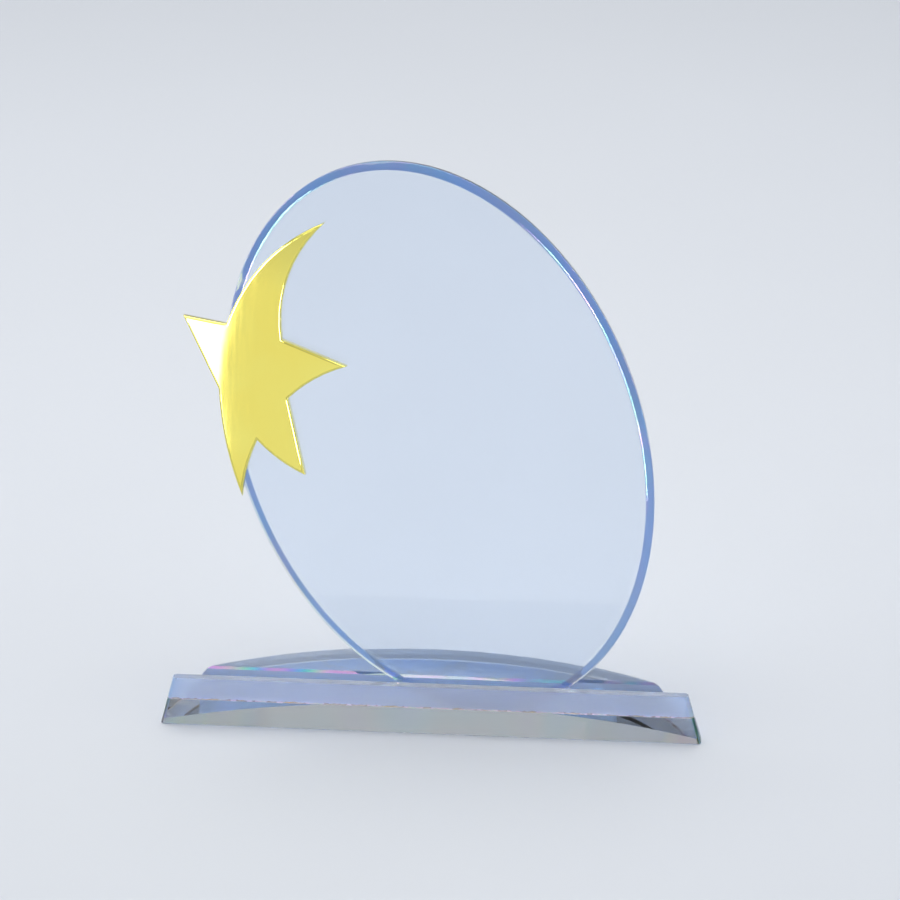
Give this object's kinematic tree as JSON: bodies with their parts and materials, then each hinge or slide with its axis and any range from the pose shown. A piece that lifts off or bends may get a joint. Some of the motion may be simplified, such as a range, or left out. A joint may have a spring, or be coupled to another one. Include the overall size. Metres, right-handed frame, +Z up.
{
  "type": "star trophy",
  "caption": "Oval clear crystal award plate with a gold star on its rim, standing in the slanted slot of a half-moon crystal base.",
  "frame": {"origin": "middle of the base's underside", "axes": "+Z up, -Y to the front where the star is, +X to the viewer's right"},
  "size_m": [0.2336, 0.0583, 0.2406],
  "materials": {
    "base_crystal": "clear polished crystal, slot ground smooth",
    "plate_crystal": "clear polished crystal",
    "gold": "mirror polished, pale gold plated",
    "clear_adhesive": "clear cured adhesive"
  },
  "bodies": {
    "base": {"base_block": "base_crystal"},
    "plate": {"oval_plate": "plate_crystal", "star_ornament": "gold", "star_bond": "clear_adhesive"}
  },
  "joints": [
    {"name": "plate_lift", "type": "slide", "parent": "base", "child": "plate", "axis": [0, 0.2079, 0.9781], "range_m": [0, 0.06]}
  ]
}
